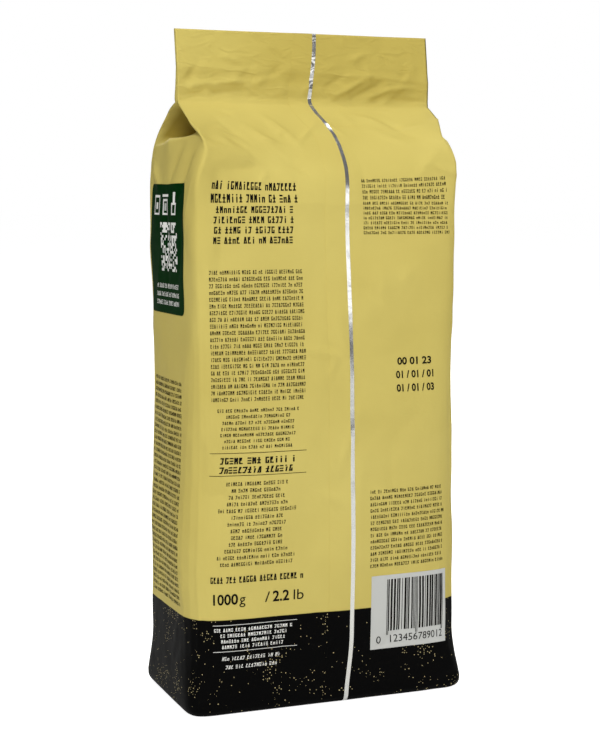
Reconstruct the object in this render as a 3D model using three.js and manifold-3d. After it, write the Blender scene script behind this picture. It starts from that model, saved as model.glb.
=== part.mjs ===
// A side-gusset coffee bag, filled and sealed, standing on its base.
//
// The bag is one web of laminated film, folded into a tube and welded along a long fin
// on the back. Each wall below is the real film gauge. The tube is split at the crease
// where the flat header folds over, so that the header can turn about it. A one-way
// degassing valve is welded to the inside of the front panel, and roasted beans fill
// the bag up to its shoulder.
//
// Millimetres, +Z up. The origin is the centre of the base. The back panel, with the
// fin, faces -Y, and the front panel, with the valve, faces +Y.
import * as THREE from "three";
import Module from "manifold-3d";
import { mergeVertices } from "three/addons/utils/BufferGeometryUtils.js";

// ---- Driving dimensions ----------------------------------------------------------
const PANEL_WIDTH = 130; // front and back panels, between the gusset folds
const GUSSET_WIDTH = 75; // each side gusset, opened flat
const BAG_HEIGHT = 320;
const FILM = 0.14; // printed film, foil and sealing layer together
const GAP = 0.3; // clearance between pieces that lie face to face
const FINE_GAP = 0.05; // clearance between the small moulded pieces of the valve

const BASE_RADIUS = 9; // how the walls turn under at the base
const BASE_FLARE = 2; // how much wider the filled base is, each side
const FLARE_END_Z = 150;
const SIDE_RADIUS = 9; // the soft vertical edges of the filled body
const SHOULDER_Z = 241; // the walls start to lean in
const NECK_Z = 287; // the plies come together
const HINGE_Z = 288; // the crease that the header folds about
const SEAL_Z = 302; // the lower edge of the welded top seal
const HEADER_Y = -5.5; // the header stands a little behind the middle

const PANEL_BULGE = 4; // how far the filled panels crown
const GUSSET_BULGE = 3;
const NECK_HALF_DEPTH = 0.6; // half of the closed neck, four plies with air between
const FOLD_RADIUS = 0.2; // a folded edge of film
const TUCK_LOW_Z = 257; // the gusset starts to tuck in
const TUCK_HIGH_Z = 273;

const FIN_ROOT_X = -1.2;
const FIN_WIDTH = 11.6;
const FIN_DRIFT = -6.5; // how far the fin wanders sideways on its way up the neck

const halfWidth = PANEL_WIDTH / 2;
const halfDepth = GUSSET_WIDTH / 2;

const wasm = await Module();
wasm.setup();

// ---- Small helpers ---------------------------------------------------------------
const clamp01 = (value) => Math.min(1, Math.max(0, value));
const smooth = (low, high, value) => {
  const share = clamp01((value - low) / (high - low));
  return share * share * (3 - 2 * share);
};
const range = (count) => [...Array(count).keys()];
const spread = (low, high, steps) =>
  range(steps + 1).map((i) => low + ((high - low) * i) / steps);

function solidOf(geometry) {
  const bare = geometry.clone();
  bare.deleteAttribute("normal");
  bare.deleteAttribute("uv");
  const merged = mergeVertices(bare, 1e-4);
  return new wasm.Manifold(
    new wasm.Mesh({
      numProp: 3,
      vertProperties: new Float32Array(merged.attributes.position.array),
      triVerts: new Uint32Array(merged.index.array),
    }),
  );
}

function geometryOf(solid) {
  const mesh = solid.getMesh();
  const geometry = new THREE.BufferGeometry();
  geometry.setAttribute(
    "position",
    new THREE.BufferAttribute(new Float32Array(mesh.vertProperties), 3),
  );
  geometry.setIndex(new THREE.BufferAttribute(new Uint32Array(mesh.triVerts), 1));
  geometry.computeVertexNormals();
  return geometry;
}

function fromTriangles(points, triangles) {
  const geometry = new THREE.BufferGeometry();
  geometry.setAttribute("position", new THREE.Float32BufferAttribute(points.flat(), 3));
  geometry.setIndex(triangles.flat());
  geometry.computeVertexNormals();
  return geometry;
}

// ---- The shape of the filled bag ---------------------------------------------------
// The bag is described by its level sections. Each is symmetric, and set by these.

// How far the section's middle is moved along Y.
const middleY = (z) => HEADER_Y * smooth(SHOULDER_Z, NECK_Z, z);

// Half of the width at the gussets.
const widthAt = (z) => halfWidth + BASE_FLARE * (1 - smooth(0, FLARE_END_Z, z));

// Half of the depth at the gusset folds. The shoulder is a rounded slope.
function depthAt(z) {
  const rise = clamp01((z - SHOULDER_Z) / (NECK_Z - SHOULDER_Z));
  const fullness = (1 - rise ** 1.7) ** 0.62;
  return NECK_HALF_DEPTH + (halfDepth - NECK_HALF_DEPTH) * fullness;
}

// How far the walls have turned under, close to the base.
function turnUnder(z) {
  const low = Math.max(0, BASE_RADIUS - z);
  return BASE_RADIUS - Math.sqrt(BASE_RADIUS ** 2 - low ** 2);
}

const panelBulgeAt = (z) =>
  PANEL_BULGE * smooth(10, 70, z) * (1 - smooth(175, SHOULDER_Z, z));
const gussetBulgeAt = (z) =>
  GUSSET_BULGE * smooth(10, 60, z) * (1 - smooth(200, TUCK_LOW_Z, z));
const cornerRadiusAt = (z) =>
  FOLD_RADIUS + (SIDE_RADIUS - FOLD_RADIUS) * (1 - smooth(SHOULDER_Z, TUCK_HIGH_Z, z));

// How far the middle of the gusset is tucked in. Above the tuck, each half of the
// gusset lies straight, so its width and the half depth fix how deep it goes.
function tuckAt(z) {
  const depth = depthAt(z);
  const straight = Math.sqrt(Math.max(0, halfDepth ** 2 - depth ** 2));
  return straight * smooth(TUCK_LOW_Z, TUCK_HIGH_Z, z);
}

const PANEL_STEPS = 7; // along half a panel
const CORNER_STEPS = 4;
const GUSSET_STEPS = 4; // along half a gusset

// One quarter of a level section, from the middle of a panel to the middle of a gusset.
// inset moves it into the bag, measured square to the film.
function quarterSection(z, inset) {
  const width = widthAt(z) - turnUnder(z);
  const depth = depthAt(z) - turnUnder(z);
  const radius = Math.min(cornerRadiusAt(z), depth / 2);
  const straight = depth - radius;
  const bulge = gussetBulgeAt(z);
  const tuck = tuckAt(z);
  const gussetX = (y) => {
    const share = y / straight;
    const slope = (-2 * bulge * share + tuck) / straight;
    const across = bulge * (1 - share ** 2) - tuck * (1 - share);
    return width + across - inset * Math.sqrt(1 + slope ** 2);
  };
  const corner = radius - inset;
  const cornerX = gussetX(straight) - corner;
  const panel = spread(0, 1, PANEL_STEPS).map((share) => [
    cornerX * share,
    depth - inset + panelBulgeAt(z) * (1 - share ** 2),
  ]);
  const arc = spread(0, Math.PI / 2, CORNER_STEPS)
    .slice(1)
    .map((turn) => [
      cornerX + corner * Math.sin(turn),
      straight + corner * Math.cos(turn),
    ]);
  const gusset = spread(straight, 0, GUSSET_STEPS)
    .slice(1)
    .map((y) => [gussetX(y), y]);
  return [...panel, ...arc, ...gusset];
}

// A whole level section as a closed ring of points, counter-clockwise from above.
function section(z, inset, height = z) {
  const quarter = quarterSection(z, inset);
  const backward = [...quarter].reverse();
  const ring = [
    ...quarter.map(([x, y]) => [x, -y]),
    ...backward.slice(1),
    ...quarter.slice(1).map(([x, y]) => [-x, y]),
    ...backward.slice(1, -1).map(([x, y]) => [-x, -y]),
  ];
  return ring.map(([x, y]) => [x, y + middleY(z), height]);
}

// A solid between level sections, closed at both ends by a fan.
function loft(rings) {
  const size = rings[0].length;
  const points = rings.flat();
  const triangles = [];
  for (let level = 0; level < rings.length - 1; level++) {
    for (let i = 0; i < size; i++) {
      const a = level * size + i;
      const b = level * size + ((i + 1) % size);
      triangles.push([a, b, b + size], [a, b + size, a + size]);
    }
  }
  const middleOf = (ring) => [0, (ring[0][1] + ring[size / 2][1]) / 2, ring[0][2]];
  const bottom = points.push(middleOf(rings[0])) - 1;
  const top = points.push(middleOf(rings[rings.length - 1])) - 1;
  const lastStart = (rings.length - 1) * size;
  for (let i = 0; i < size; i++) {
    const next = (i + 1) % size;
    triangles.push([bottom, next, i], [top, lastStart + i, lastStart + next]);
  }
  return fromTriangles(points, triangles);
}

// The levels of the sections: close together where the base turns under and on the
// shoulder, and wide apart on the straight body.
const baseLevels = spread(0, Math.PI / 2, 4).map((turn) => BASE_RADIUS * (1 - Math.cos(turn)));
const bodyLevels = [30, 60, 95, 130, 165, 195, 220, SHOULDER_Z];
const shoulderLevels = spread(SHOULDER_Z, NECK_Z, 13).slice(1);
const levels = [...baseLevels, ...bodyLevels, ...shoulderLevels];

// The filled outline, moved in by inset, up to a given height. Its base is at inset.
function filledOutline(inset, topZ) {
  const kept = levels.filter((z) => z < topZ - 1);
  const rings = [...kept, topZ].map((z) =>
    section(z, inset, z < BASE_RADIUS ? inset + (z * (BASE_RADIUS - inset)) / BASE_RADIUS : z),
  );
  return solidOf(loft(rings));
}

// ---- The base: a shallow channel holds the folded bottom seal ----------------------
const CHANNEL = { length: 112, width: 18, height: 1.2 };

function baseChannel(inset) {
  const box = new THREE.BoxGeometry(
    CHANNEL.length + 2 * inset,
    CHANNEL.width + 2 * inset,
    2 * (CHANNEL.height + inset),
  );
  return solidOf(box);
}

function bottomSeal() {
  const length = CHANNEL.length - 2 * GAP - 1;
  const width = CHANNEL.width - 4;
  const plies = 4 * FILM;
  const box = new THREE.BoxGeometry(length, width, plies);
  box.translate(0, 0, GAP + plies / 2);
  return box;
}

// ---- The valve, on the inside of the front panel -----------------------------------
const VALVE = {
  z: 226,
  flangeRadius: 11,
  flangeHeight: 0.6,
  wallRadius: 8.4,
  boreRadius: 7.6,
  depth: 4.2,
  floor: 0.6,
  seatRadius: 4.3,
  seatHalf: 0.3,
  discRadius: 6,
  discHeight: 0.5,
  discTravel: 0.4,
  capHeight: 0.9,
  filterHeight: 0.2,
};
const ROUND = 32; // steps around a turned piece
const filmInsideY =
  middleY(VALVE.z) + depthAt(VALVE.z) + panelBulgeAt(VALVE.z) - FILM;
const valveFaceY = filmInsideY - GAP - 0.15;

// Turns an outline about the valve's axis. An outline's second number is the distance
// into the bag from the flange's outer face.
function valveSolid(outline) {
  const profile = outline.map(([radius, into]) => new THREE.Vector2(radius, -into));
  const geometry = new THREE.LatheGeometry(profile, ROUND);
  geometry.translate(0, valveFaceY, VALVE.z);
  const solid = solidOf(geometry);
  return solid.volume() < 0 ? solidOf(insideOut(geometry)) : solid;
}

function insideOut(geometry) {
  const turned = geometry.clone();
  turned.index.array.reverse();
  return turned;
}

function ventHoles(radius, ring, count, length = 12) {
  return range(count).map((i) => {
    const angle = (i / count) * 2 * Math.PI;
    const hole = new THREE.CylinderGeometry(radius, radius, length, 12);
    hole.translate(ring * Math.cos(angle), valveFaceY, VALVE.z + ring * Math.sin(angle));
    return solidOf(hole);
  });
}

const cutAll = (solid, tools) => tools.reduce((left, tool) => left.subtract(tool), solid);

function valveBody() {
  const v = VALVE;
  const floorTop = v.depth - v.floor;
  const seatTop = floorTop - v.seatHalf;
  const body = valveSolid([
    [0, floorTop],
    [v.seatRadius - v.seatHalf, floorTop],
    [v.seatRadius - v.seatHalf, seatTop],
    [v.seatRadius + v.seatHalf, seatTop],
    [v.seatRadius + v.seatHalf, floorTop],
    [v.boreRadius, floorTop],
    [v.boreRadius, 0],
    [v.flangeRadius, 0],
    [v.flangeRadius, v.flangeHeight],
    [v.wallRadius, v.flangeHeight],
    [v.wallRadius, v.depth],
    [0, v.depth],
  ]);
  return geometryOf(cutAll(body, ventHoles(0.6, 2, 5)));
}

const seatTopAt = VALVE.depth - VALVE.floor - VALVE.seatHalf;
const discTopAt = seatTopAt - FINE_GAP - VALVE.discHeight;
const capUnderAt = discTopAt - VALVE.discTravel - FINE_GAP;

function valveDisc() {
  const v = VALVE;
  return geometryOf(
    valveSolid([
      [0, discTopAt],
      [v.discRadius, discTopAt],
      [v.discRadius, discTopAt + v.discHeight],
      [0, discTopAt + v.discHeight],
    ]),
  );
}

function valveCap() {
  const v = VALVE;
  const radius = v.boreRadius - FINE_GAP;
  const top = capUnderAt - v.capHeight;
  const cap = valveSolid([
    [0, top],
    [radius, top],
    [radius, capUnderAt],
    [0, capUnderAt],
  ]);
  return geometryOf(cutAll(cap, ventHoles(0.8, 4.4, 4)));
}

function valveFilter() {
  const v = VALVE;
  const top = v.depth + FINE_GAP;
  return geometryOf(
    valveSolid([
      [0, top],
      [v.wallRadius - 0.4, top],
      [v.wallRadius - 0.4, top + v.filterHeight],
      [0, top + v.filterHeight],
    ]),
  );
}

function valvePocket() {
  const radius = VALVE.flangeRadius + 1.5;
  const deep = VALVE.depth + 2;
  const pocket = new THREE.CylinderGeometry(radius, radius, 2 * deep, ROUND);
  pocket.translate(0, valveFaceY, VALVE.z);
  return solidOf(pocket);
}

// ---- The film below the header crease, and the beans that it holds -----------------
function filmPouch() {
  const outside = filledOutline(0, NECK_Z).subtract(baseChannel(0));
  const inside = filledOutline(FILM, NECK_Z);
  const mouth = [section(NECK_Z, FILM, NECK_Z - 0.5), section(NECK_Z, FILM, NECK_Z + 1)];
  const hollow = inside.add(solidOf(loft(mouth))).subtract(baseChannel(FILM));
  return geometryOf(cutAll(outside.subtract(hollow), ventHoles(0.5, 3.5, 5)));
}

const FILL_Z = shoulderLevels[4]; // the top of the heap of beans, below the tucks

function beanFill() {
  const clear = FILM + GAP + 0.05;
  const heap = filledOutline(clear, FILL_Z);
  return geometryOf(heap.subtract(baseChannel(clear)).subtract(valvePocket()));
}

// ---- Pieces that lie on the back panel ---------------------------------------------
// A layer that follows the film, from near to far above it, kept only behind an outline
// in X and Z.
function layerOnBack(outline, near, far) {
  const skin = filledOutline(-far, NECK_Z).subtract(filledOutline(-near, NECK_Z));
  const shape = new THREE.Shape(outline.map(([x, z]) => new THREE.Vector2(x, z)));
  const cutter = new THREE.ExtrudeGeometry(shape, { depth: 60, bevelEnabled: false });
  cutter.rotateX(Math.PI / 2);
  cutter.translate(0, -3, 0);
  return geometryOf(skin.intersect(solidOf(cutter)));
}

// How far the fin has wandered sideways at this height.
const finDrift = (z) =>
  FIN_DRIFT * smooth(SHOULDER_Z, NECK_Z, z) + 2 * smooth(HINGE_Z, BAG_HEIGHT, z);

function backFin() {
  const heights = [11, SHOULDER_Z, ...spread(SHOULDER_Z, NECK_Z - 1, 8).slice(1)];
  const root = heights.map((z) => [FIN_ROOT_X + finDrift(z), z]);
  const edge = heights.map((z) => [FIN_ROOT_X + FIN_WIDTH + finDrift(z), z]);
  return layerOnBack([...edge, ...root.reverse()], GAP, GAP + 2 * FILM);
}

// A flat sheet standing across Y, between two edges given as outlines in X and Z.
function flatSheet(outline, nearY, thickness) {
  const shape = new THREE.Shape(outline.map(([x, z]) => new THREE.Vector2(x, z)));
  const flat = new THREE.ExtrudeGeometry(shape, { depth: thickness, bevelEnabled: false });
  flat.rotateX(Math.PI / 2);
  flat.translate(0, nearY + thickness, 0);
  return flat;
}

// ---- The header: flat plies above the crease, and the seal that closes them --------
// The gussets lie folded between the panels, so the header has four plies at its sides
// and two in its middle.
function headerOutline() {
  const two = FILM + 0.02;
  const four = 2 * FILM + 0.02;
  const fold = halfWidth - halfDepth;
  const side = [
    [0, two],
    [fold - 1, two],
    [fold + 1, four],
    [halfWidth, four],
  ];
  const mirrored = [...side].reverse().slice(0, -1);
  const near = [
    ...mirrored.map(([x, y]) => [-x, -y]),
    ...side.map(([x, y]) => [x, -y]),
  ];
  const far = [
    ...mirrored.map(([x, y]) => [x, y]),
    ...side.map(([x, y]) => [-x, y]),
  ];
  return new THREE.Shape([...near, ...far].map(([x, y]) => new THREE.Vector2(x, y)));
}

function headerBand(low, high) {
  const band = new THREE.ExtrudeGeometry(headerOutline(), {
    depth: high - low,
    bevelEnabled: false,
  });
  band.translate(0, HEADER_Y, low);
  return band;
}

function headerFin() {
  const nearFilm = HEADER_Y - (FILM + 0.02) - GAP;
  const heights = spread(HINGE_Z + 1.4, BAG_HEIGHT, 5);
  const root = heights.map((z) => [FIN_ROOT_X + finDrift(z), z]);
  const edge = heights.map((z) => [FIN_ROOT_X + FIN_WIDTH + finDrift(z), z]);
  return flatSheet([...edge, ...root.reverse()], nearFilm - 2 * FILM, 2 * FILM);
}

// ---- Materials ----------------------------------------------------------------------
const finish = (color, roughness, metalness = 0) =>
  new THREE.MeshStandardMaterial({ color, roughness, metalness });
const materials = {
  film: finish("#d6c872", 0.5),
  seal: finish("#cfc06a", 0.45),
  foil: finish("#b9bab6", 0.3, 0.9),
  valve: finish("#e8e6de", 0.4),
  rubber: finish("#5a5650", 0.8),
  filter: finish("#f1eee4", 0.9),
  beans: finish("#3b2416", 0.6),
};

// ---- The bag --------------------------------------------------------------------------
const bag = new THREE.Group();
const add = (name, geometry, material) => {
  const mesh = new THREE.Mesh(geometry, materials[material]);
  mesh.name = name;
  bag.add(mesh);
};

add("film_pouch", filmPouch(), "film");
add("back_fin_seam", backFin(), "foil");
add("bottom_seal", bottomSeal(), "seal");
add("bean_fill", beanFill(), "beans");

add("header_plies", headerBand(HINGE_Z + 0.8, SEAL_Z - GAP / 2), "film");
add("top_seal", headerBand(SEAL_Z + GAP / 2, BAG_HEIGHT), "seal");
add("header_fin_seam", headerFin(), "foil");

add("valve_body", valveBody(), "valve");
add("valve_cap", valveCap(), "valve");
add("valve_disc", valveDisc(), "rubber");
add("valve_filter", valveFilter(), "filter");

export default bag;
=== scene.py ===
# %% [markdown]
# # A side-gusset coffee bag
#
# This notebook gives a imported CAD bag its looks. The CAD bag has the right sizes and joints,
# but flat, plain walls. Here its film becomes one continuous skin with a crowned panel, soft
# corners, a tucked gusset at each shoulder and the small dents and creases that printed film
# picks up. The print, the silver edge of the back seam and the studio come after that.

# %% Load the frame
import math
import random

import bmesh
import bpy
import numpy as np
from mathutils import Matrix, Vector, noise


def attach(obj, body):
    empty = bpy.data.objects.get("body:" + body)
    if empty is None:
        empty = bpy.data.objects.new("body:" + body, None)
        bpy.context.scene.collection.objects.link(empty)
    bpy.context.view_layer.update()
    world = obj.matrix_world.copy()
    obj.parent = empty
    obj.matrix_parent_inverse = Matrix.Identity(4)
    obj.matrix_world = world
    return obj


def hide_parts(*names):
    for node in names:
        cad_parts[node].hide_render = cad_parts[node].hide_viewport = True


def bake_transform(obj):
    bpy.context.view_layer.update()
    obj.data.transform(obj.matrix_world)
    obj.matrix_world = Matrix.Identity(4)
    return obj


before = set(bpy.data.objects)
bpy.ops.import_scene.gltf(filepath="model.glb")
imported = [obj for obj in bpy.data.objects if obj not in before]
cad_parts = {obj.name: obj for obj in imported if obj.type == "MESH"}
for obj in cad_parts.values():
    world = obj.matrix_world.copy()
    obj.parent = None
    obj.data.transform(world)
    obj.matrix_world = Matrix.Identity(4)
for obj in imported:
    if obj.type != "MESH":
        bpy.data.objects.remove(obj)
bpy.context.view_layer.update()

# %% [markdown]
# ## The camera
#
# The camera stands in front of the back panel, a little to the left, and a little above the
# middle of the bag. A long lens from 0.8 m keeps the bag's upright edges nearly parallel.
# It is made first, so that each later step can be looked at.

# %% Place the camera
CAMERA_PLACE = (-0.292, -0.741, 0.240)
CAMERA_PITCH = math.radians(6.1)
CAMERA_TURN = math.radians(-21.45)
SENSOR_MM = 36
LENS_MM = 78.1

camera = bpy.data.objects.new("camera", bpy.data.cameras.new("camera"))
bpy.context.scene.collection.objects.link(camera)
camera.location = CAMERA_PLACE
camera.rotation_euler = (math.pi / 2 - CAMERA_PITCH, 0, CAMERA_TURN)
camera.data.sensor_width = SENSOR_MM
camera.data.lens = LENS_MM
bpy.context.scene.camera = camera
print("the camera is", round(camera.location.length, 2), "m from the bag's foot")

# %% [markdown]
# ## The shape of the film
#
# The real bag is one flat web, folded into a tube. So the skin starts as a flat grid whose
# two directions are distances on that web, in millimetres:
# - `across` runs round the bag, from 0 at the middle of the back panel. The back panel is
#   130 wide, each gusset 75 and the front panel 130, so it ends at 205 either way.
# - `up` runs up the bag. It equals the height on the body, runs on over the shoulder, and
#   ends at the cut edge at the top.
#
# Five lines run up the bag: the middle of the back, the back fold, the middle of the gusset,
# the front fold and the middle of the front. Each gets a smooth curve in space, and the film
# spans from line to line. That is a loft, and it keeps the folds where the web has them.

# %% The web's sizes, in millimetres
PANEL = 130
GUSSET = 75
BACK_FOLD = PANEL / 2
TUCK_FOLD = BACK_FOLD + GUSSET / 2
FRONT_FOLD = BACK_FOLD + GUSSET
FRONT_MIDDLE = FRONT_FOLD + PANEL / 2

BASE_RADIUS = 4.5  # of the curl where the walls turn under
SHOULDER = 240  # where the film starts to lean in
TUCK_START = 262  # where the gusset folds inwards
NECK = 295  # web distance at the crease below the header
NECK_HEIGHT = 286  # and its height above the floor
TOP = 329  # web distance at the cut edge
MM = 0.001


def smooth(low, high, value):
    """0 below low, 1 above high, and a soft S between them."""
    share = np.clip((value - low) / (high - low), 0, 1)
    return share * share * (3 - 2 * share)


def bezier(points, share):
    """Points on a cubic Bezier curve through four control points."""
    a, b, c, d = (np.array(p, float) for p in points)
    t = np.clip(share, 0, 1)[..., None]
    return (1 - t) ** 3 * a + 3 * (1 - t) ** 2 * t * b + 3 * (1 - t) * t**2 * c + t**3 * d


# %% The lines that run up the bag
# Each shoulder curve is (y, z), from the top of the body to the neck.
BACK_MIDDLE_CURVE = [(-34.8, 240), (-31, 262), (-16, 275), (-5.7, 286)]
BACK_FOLD_CURVE = [(-36.5, 240), (-38.8, 270), (-36.5, 269), (-6.1, 286)]
FRONT_FOLD_CURVE = [(36.5, 240), (38.5, 268), (26, 278), (-5.2, 286)]
FRONT_MIDDLE_CURVE = [(37.5, 240), (35, 262), (16, 277), (-4.9, 286)]
# Each line is its shoulder curve, its depth where the body is fullest and its depth at the base.
BACK_MIDDLE_LINE = (BACK_MIDDLE_CURVE, 42.2, 39.5)
BACK_FOLD_LINE = (BACK_FOLD_CURVE, 38.0, 40.0)
FRONT_FOLD_LINE = (FRONT_FOLD_CURVE, 37.5, 36.5)
FRONT_MIDDLE_LINE = (FRONT_MIDDLE_CURVE, 41.5, 35.0)
PLY = 0.4  # how far apart the plies lie at the neck
SEALED_PLY = 0.22  # and where the top seal presses them together


def flare(up):
    """How much wider the filled body is than the header, on each side."""
    upper = 1.6 * (1 - smooth(200, 285, up))
    lower = 3.4 * (1 - smooth(70, 170, up))
    return upper + lower + 1.6 * (1 - smooth(0, 30, up))


def body_depth(up, fullest, top, bottom):
    """The distance of a line from the bag's middle plane, below the shoulder."""
    upper = top + (fullest - top) * (1 - smooth(140, SHOULDER + 12, up))
    return upper - (fullest - bottom) * (1 - smooth(-10, 75, up))


def header_plane(up):
    """Where the header stands: it bows to the back at its foot and leans to the front above."""
    return -5.3 - 0.2 * smooth(NECK, NECK + 9, up) + 3.6 * smooth(NECK + 9, TOP + 8, up)


def run_up(curve, fullest, bottom, ply, up):
    """(y, z) all the way up one line: body, shoulder, header."""
    top = abs(curve[0][0])
    sign = np.sign(curve[0][0])
    body = np.stack([sign * body_depth(up, fullest, top, bottom), up], -1)
    shoulder = bezier(curve, (up - SHOULDER) / (NECK - SHOULDER))
    header = np.stack([header_plane(up) + ply, NECK_HEIGHT + up - NECK], -1)
    way = np.where((up < SHOULDER)[..., None], body, shoulder)
    return np.where((up > NECK)[..., None], header, way)


def gusset_middle(up):
    """(x, y, z) up the middle of the right-hand gusset."""
    tucked = np.clip((up - TUCK_START) / (NECK - TUCK_START), 0, 1)
    full = BACK_FOLD + flare(up) + 1.6 * smooth(20, 80, up)
    x = full + (BACK_FOLD - GUSSET / 2 - full) * tucked**0.8
    ridge = TUCK_START + 5
    z = np.where(up < TUCK_START, up + 5 * smooth(235, TUCK_START, up), ridge + 19 * tucked**2.2)
    z = np.where(up > NECK, NECK_HEIGHT + up - NECK, z)
    y = header_plane(np.maximum(up, NECK)) * smooth(TUCK_START - 20, NECK, up)
    return np.stack([x, y, z], -1)


print("the web is", 2 * FRONT_MIDDLE, "mm round and", TOP, "mm tall")

# %% [markdown]
# The two panels crown: they are fullest in the middle and fall away to the folds. A power a
# little over 2 keeps the middle flat. The gusset bulges in the same way on the body, and is
# straight from fold to fold where it is tucked.


# %% The sharp form of the film
def sharp_film(across, up):
    """Points in millimetres on the film, before its folds are softened."""
    across = (across + FRONT_MIDDLE) % (2 * FRONT_MIDDLE) - FRONT_MIDDLE
    side = np.where(across < 0, -1.0, 1.0)
    along = np.abs(across)
    ply = PLY - (PLY - SEALED_PLY) * smooth(NECK + 8, NECK + 18, up)
    back_middle = run_up(*BACK_MIDDLE_LINE, -ply, up)
    back_fold = run_up(*BACK_FOLD_LINE, -2 * ply, up)
    front_fold = run_up(*FRONT_FOLD_LINE, 2 * ply, up)
    front_middle = run_up(*FRONT_MIDDLE_LINE, ply, up)
    # The gusset's mouth gapes a little where it enters the header.
    front_fold[..., 0] += 2.6 * smooth(NECK - 14, NECK, up) * (1 - smooth(NECK - 4, NECK + 16, up))
    tuck = gusset_middle(up)
    front_x = BACK_FOLD + flare(up)
    peak = 265 + 5 * side  # the left corner is tucked a little lower than the right
    back_x = front_x - 4.6 * smooth(peak - 17, peak, up) * (1 - smooth(peak, peak + 22, up))

    def panel(middle, fold, fold_x, share):
        """Half a panel, from its middle (share 0) to its fold (share 1)."""
        bend = (share**2.4)[..., None]
        yz = middle * (1 - bend) + fold * bend
        return np.concatenate([(fold_x * share)[..., None], yz], -1)

    ridge = 4.5 * smooth(244, TUCK_START, up) * (1 - smooth(TUCK_START, NECK, up))

    def half_gusset(fold, fold_x, share, lean):
        """Half a gusset, from its fold (share 0) to the gusset's middle (share 1)."""
        corner = np.concatenate([fold_x[..., None], fold], -1)
        bulging = 1 + 1.0 * (1 - smooth(TUCK_START - 14, TUCK_START + 2, up))
        line = corner + (tuck - corner) * share[..., None]
        line[..., 0] = tuck[..., 0] + (fold_x - tuck[..., 0]) * (1 - share) ** bulging
        line[..., 2] += ridge * lean
        pressed = smooth(NECK - 6, NECK, up)
        apart = share + (np.clip(8 * share, 0, 1) - share) * pressed
        line[..., 1] = corner[..., 1] + (tuck[..., 1] - corner[..., 1]) * apart
        return line

    back = panel(back_middle, back_fold, back_x, np.clip(along / BACK_FOLD, 0, 1))
    from_back = np.clip((along - BACK_FOLD) / (GUSSET / 2), 0, 1)
    near = from_back / 0.3  # the ridge of the tuck lies near the back fold
    back_half = half_gusset(back_fold, back_x, from_back, near * np.exp(1 - near))
    from_front = np.clip((FRONT_FOLD - along) / (GUSSET / 2), 0, 1)
    front_half = half_gusset(front_fold, front_x, from_front, 0.323 * from_front)
    from_middle = np.clip((FRONT_MIDDLE - along) / BACK_FOLD, 0, 1)
    front = panel(front_middle, front_fold, front_x, from_middle)
    point = np.where((along > BACK_FOLD)[..., None], back_half, back)
    point = np.where((along > TUCK_FOLD)[..., None], front_half, point)
    point = np.where((along > FRONT_FOLD)[..., None], front, point)
    point[..., 0] *= side
    return point


def softness(up):
    """How wide the folds are rounded, in millimetres of film, at each height."""
    body = 4.0 + 8.0 * smooth(-5, 32, up) * (1 - smooth(90, 235, up))
    return 0.3 + (body - 0.3) * (1 - smooth(228, 257, up))


def soft_film(across, up):
    """The film with its folds rounded: each point is a weighted mean of those beside it."""
    reach = softness(up)
    total = 0
    weights = 0
    for step in np.linspace(-2, 2, 9):
        weight = math.exp(-(step**2) / 2)
        total = total + weight * sharp_film(across + step * reach, up)
        weights += weight
    return total / weights


# %% [markdown]
# ## Dents and creases
#
# Film doesn't stretch, so where it is pushed it buckles into straight creases with shallow
# hollows beside them. A crease is drawn as a soft ridge along a short line on the web, and a
# dent as a shallow bump. A few are listed one by one, where a header that was folded down and
# opened again has them, and the rest are scattered by a seeded generator, so every run gives
# the same bag.


# %% Crease and dent shapes, as heights above the film
def crease(across, up, start, end, width, height):
    """A ridge along a line on the web, sharp at its crest and fading at its ends."""
    line = np.subtract(end, start)
    length = math.hypot(*line)
    share = ((across - start[0]) * line[0] + (up - start[1]) * line[1]) / length**2
    aside = ((across - start[0]) * line[1] - (up - start[1]) * line[0]) / length
    fade = np.clip(1 - np.abs(2 * share - 1), 0, 1)
    fade = fade * fade * (3 - 2 * fade)
    return height * fade * (1.0 / (1 + (aside / width) ** 2) ** 1.5 - 0.12)


def band(across, up, level, below, above, height, wander, seed):
    """A ridge or valley right across the header, sharp at its crest, wandering a little up and down."""
    drift = wander * np.sin(across / 23 + seed) + 0.5 * wander * np.sin(across / 7.3 + 2 * seed)
    away = up - level - drift
    return height * np.exp(-np.abs(away / np.where(away < 0, below, above)) ** 1.3)


def lumps(across, up, size, seed):
    """A soft random relief, between about -1 and 1, with bumps of the given size."""
    angle = across / FRONT_MIDDLE * math.pi
    radius = FRONT_MIDDLE / math.pi
    flat = np.stack([radius * np.cos(angle), radius * np.sin(angle), up], -1) / size + seed * 17.3
    shape = flat.shape[:-1]
    values = [noise.noise(Vector(p)) for p in flat.reshape(-1, 3)]
    return np.array(values).reshape(shape)


def scattered(across, up, count, region, length, width, height, lean, seed):
    """Random creases inside a region of the web, (across low, high, up low, high)."""
    pick = random.Random(seed)
    total = np.zeros_like(up)
    for _ in range(count):
        middle = (pick.uniform(region[0], region[1]), pick.uniform(region[2], region[3]))
        turn = pick.gauss(*lean)
        half = pick.uniform(*length) / 2
        step = (half * math.cos(turn), half * math.sin(turn))
        start = (middle[0] - step[0], middle[1] - step[1])
        end = (middle[0] + step[0], middle[1] + step[1])
        tall = pick.choice([-1, 1]) * pick.uniform(*height)
        total += crease(across, up, start, end, pick.uniform(*width), tall)
    return total
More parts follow.
